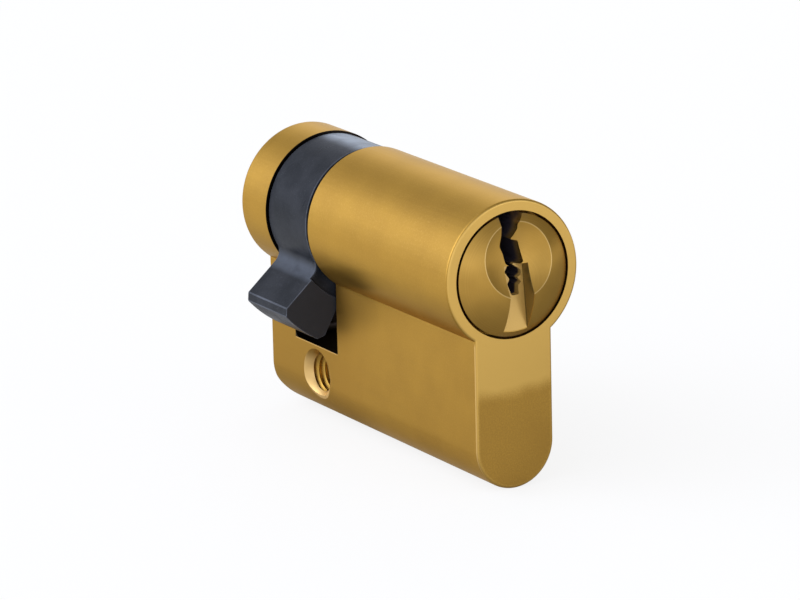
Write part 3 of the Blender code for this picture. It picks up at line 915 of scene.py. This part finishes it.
for i in range(chamber_count):
    low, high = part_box(f"pin_spring_{i + 1}")
    spring = shape_by_nodes(f"wound_spring_{i + 1}", bench.tree, {
        "Coil Radius": (high[0] - low[0]) / 2 - spring_wire_radius,
        "Wire Radius": spring_wire_radius, "Turns": spring_turns,
        "Length": high[2] - low[2], "Finish": spring_wire,
    }, "housing")
    spring.data.transform(Matrix.Translation((0, chamber_y(i), low[2])))
    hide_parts(f"pin_spring_{i + 1}")
    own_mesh(spring)


# Studio
# A plain pale floor under a white surround, and the photograph's camera. The large soft lamps
# are part of the surround, which the camera itself sees as plain white.
floor_size = 3.0
floor_colour = (0.88, 0.87, 0.84)
surround_level = 0.39
surround_colour = (1.0, 0.99, 0.93)
lamp_colour = (0.93, 0.99, 1.22)
# In metal the floor shows a painted shadow, dim round this spot to the right, and bright farther
# off
dim_spot = (0.09, 0.0, web_bottom)
floor_shape = bmesh.new()
bmesh.ops.create_grid(floor_shape, x_segments=1, y_segments=1, size=floor_size / 2)
bmesh.ops.translate(floor_shape, vec=(0, 0, web_bottom - 0.00002), verts=floor_shape.verts)
floor = as_piece("studio_floor", floor_shape)
floor_material = bpy.data.materials.new("studio_floor")
floor_material.use_nodes = True
bench = Bench(floor_material.node_tree)
bench.tree.nodes.clear()
rays = bench.node("ShaderNodeLightPath").socket.node
in_camera = Wire(bench, rays.outputs["Is Camera Ray"])
mirrored = Wire(bench, rays.outputs["Is Glossy Ray"])
mirrored = mirrored + Wire(bench, rays.outputs["Is Transmission Ray"])
place = bench.node("ShaderNodeTexCoord", output="Object")
from_spot = bench.node("ShaderNodeVectorMath", {"operation": "DISTANCE"},
                       {0: place, 1: dim_spot}, output="Value")
slant = bench.node("ShaderNodeLayerWeight", values={"Blend": 0.5}, output="Facing")
glow_in_metal = from_spot.between(0.05, 0.145, 0.2, 1.35) * slant.between(0.1, 0.7, 0.3, 1.0)
level = in_camera + mirrored * glow_in_metal
matte = bench.node("ShaderNodeBsdfDiffuse", values={"Color": (*floor_colour, 1)})
glow = bench.node("ShaderNodeEmission", values={"Color": (1, 1, 1, 1), "Strength": level})
mixed = bench.node("ShaderNodeMixShader", values={
    0: in_camera * 0.84 + mirrored * 0.60, 1: matte, 2: glow,
})
surface = bench.tree.nodes.new("ShaderNodeOutputMaterial")
bench.tree.links.new(mixed.socket, surface.inputs[0])
floor.data.materials.append(floor_material)
floor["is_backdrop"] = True

world = bpy.data.worlds.new("studio")
world.use_nodes = True
bpy.context.scene.world = world
bench = Bench(world.node_tree)
bench.tree.nodes.clear()
direction = bench.node("ShaderNodeTexCoord", output="Generated")
in_camera = bench.node("ShaderNodeLightPath", output="Is Camera Ray")


def softbox(azimuth, elevation, sharpness, level):
    """A round soft lamp in the surround, brightest in its middle. Azimuth 0 is in front."""
    a, e = radians(azimuth), radians(elevation)
    towards = bench.node("ShaderNodeVectorMath", {"operation": "DOT_PRODUCT"}, {
        0: direction, 1: (sin(a) * cos(e), -cos(a) * cos(e), sin(e)),
    }, output="Value")
    return bench.node("ShaderNodeMath", {"operation": "EXPONENT"}, {
        0: (towards - 1) * sharpness,
    }) * level


rear_left = softbox(240, 22, 11, 3.1)
rear_right = softbox(141, 26, 15, 1.5)
broad_left = softbox(260, 36, 3, 1.25)
front_right = softbox(27, 5, 14, 1.9)
front_left = softbox(330, 7, 12, 1.6)
lamps = rear_left + rear_right + broad_left + front_right + front_left
surround = lamps + surround_level
tinge = bench.tint(lamps / surround, surround_colour, lamp_colour)
sky = bench.node("ShaderNodeBackground", values={
    "Color": bench.tint(in_camera, tinge, (1.0, 1.0, 1.0)),
    "Strength": surround * (1 - in_camera) + in_camera,
})
surface = bench.tree.nodes.new("ShaderNodeOutputWorld")
bench.tree.links.new(sky.socket, surface.inputs[0])

# The lens and the place were fitted to points read off the photograph
camera_data = bpy.data.cameras.new("camera")
camera_data.sensor_width = 36
camera_data.lens = 226.5423
camera_data.clip_start = 0.01
camera_data.clip_end = 20
camera = bpy.data.objects.new("camera", camera_data)
camera.matrix_world = Matrix((
    (0.85591227, 0.15652687, -0.49286258, -0.28294585),
    (-0.51660948, 0.21643546, -0.82841435, -0.48634397),
    (-0.02299617, 0.96366749, 0.26611303, 0.16327021),
    (0, 0, 0, 1),
))
bpy.context.scene.collection.objects.link(camera)
bpy.context.scene.camera = camera
bpy.context.scene.view_settings.view_transform = "Standard"

boxes = {"cad": cad_box, "visual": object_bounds()}
{name: [list(corner) for corner in box] for name, box in boxes.items()}
